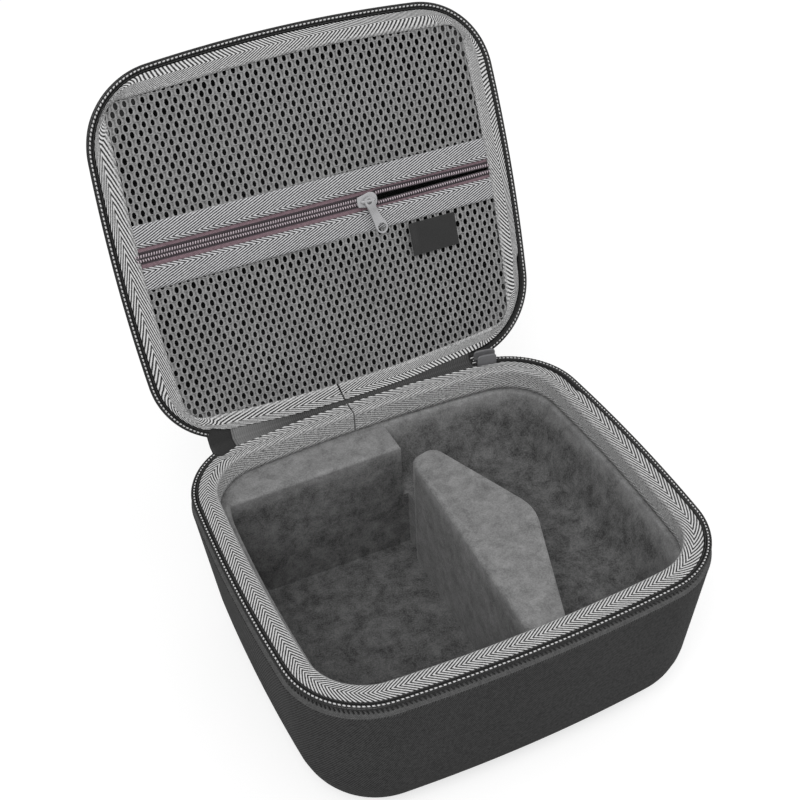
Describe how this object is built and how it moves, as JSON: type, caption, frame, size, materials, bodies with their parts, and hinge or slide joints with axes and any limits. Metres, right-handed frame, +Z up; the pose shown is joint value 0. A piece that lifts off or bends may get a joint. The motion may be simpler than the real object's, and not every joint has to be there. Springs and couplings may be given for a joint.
{
  "type": "hard carrying case",
  "caption": "Hard zipped carrying case lying open: deep base with a fitted insert, shallow hinged lid with a zipped mesh pocket.",
  "frame": {"origin": "middle of the base's flat underside", "axes": "+Z up from the underside, +Y towards the hinge, +X to the right seen from the front"},
  "size_m": [0.217, 0.293, 0.2678],
  "materials": {
    "woven_cover": "fine diagonal weave, matt",
    "foam_core": "closed-cell foam",
    "velour": "short brushed pile",
    "lining": "smooth knitted lining",
    "twill_tape": "herringbone twill",
    "black_zip_tape": "woven zip tape",
    "black_coil": "moulded nylon coil, satin",
    "hinge_cloth": "plain woven cloth",
    "hinge_ribbon": "ribbed ribbon",
    "mesh": "knitted spacer mesh",
    "mauve_zip_tape": "woven zip tape",
    "mauve_coil": "moulded nylon coil, satin",
    "label_cloth": "smooth coated fabric",
    "slider_metal": "die-cast zinc, satin lacquer"
  },
  "bodies": {
    "base": {"base_cover": "woven_cover", "base_shell": "foam_core", "base_insert": "velour", "base_binding": "twill_tape", "base_zip_tape": "black_zip_tape", "base_zip_coil": "black_coil", "hinge_cloth_base": "hinge_cloth", "hinge_ribbon_base": "hinge_ribbon"},
    "lid": {"lid_cover": "woven_cover", "lid_shell": "foam_core", "lid_liner": "lining", "lid_binding": "twill_tape", "lid_zip_tape": "black_zip_tape", "lid_zip_coil": "black_coil", "hinge_cloth_lid": "hinge_cloth", "hinge_ribbon_lid": "hinge_ribbon", "mesh_panel_upper": "mesh", "mesh_panel_lower": "mesh", "pocket_tape_upper": "twill_tape", "pocket_tape_lower": "twill_tape", "pocket_zip_tape_upper": "mauve_zip_tape", "pocket_zip_tape_lower": "mauve_zip_tape", "pocket_coil_upper": "mauve_coil", "pocket_coil_lower": "mauve_coil", "label": "label_cloth"},
    "pocket_slider": {"pocket_slider": "slider_metal"},
    "pocket_pull": {"pocket_pull": "slider_metal"},
    "main_slider": {"main_slider": "slider_metal"},
    "main_pull": {"main_pull": "slider_metal"}
  },
  "joints": [
    {"name": "lid_hinge", "type": "hinge", "parent": "base", "child": "lid", "pos_m": [0, 0.0938, 0.09], "axis": [1, 0, 0], "range_deg": [-6, 111.1]},
    {"name": "pocket_slider_slide", "type": "slide", "parent": "lid", "child": "pocket_slider", "axis": [0.9999, -0.005, -0.013], "range_m": [-0.112, 0.063]},
    {"name": "pocket_pull_flip", "type": "hinge", "parent": "pocket_slider", "child": "pocket_pull", "pos_m": [0.0242, 0.12713, 0.18332], "axis": [0.9999, -0.005, -0.013], "range_deg": [-165, 0]},
    {"name": "main_slider_turn", "type": "hinge", "parent": "base", "child": "main_slider", "pos_m": [0.0651, 0.05341, 0.09], "axis": [0, 0, 1], "range_deg": [-66, 0]},
    {"name": "main_pull_swing", "type": "hinge", "parent": "main_slider", "child": "main_pull", "pos_m": [0.07265, 0.09625, 0.09], "axis": [0.1736, 0.9848, 0], "range_deg": [-25, 25]}
  ]
}
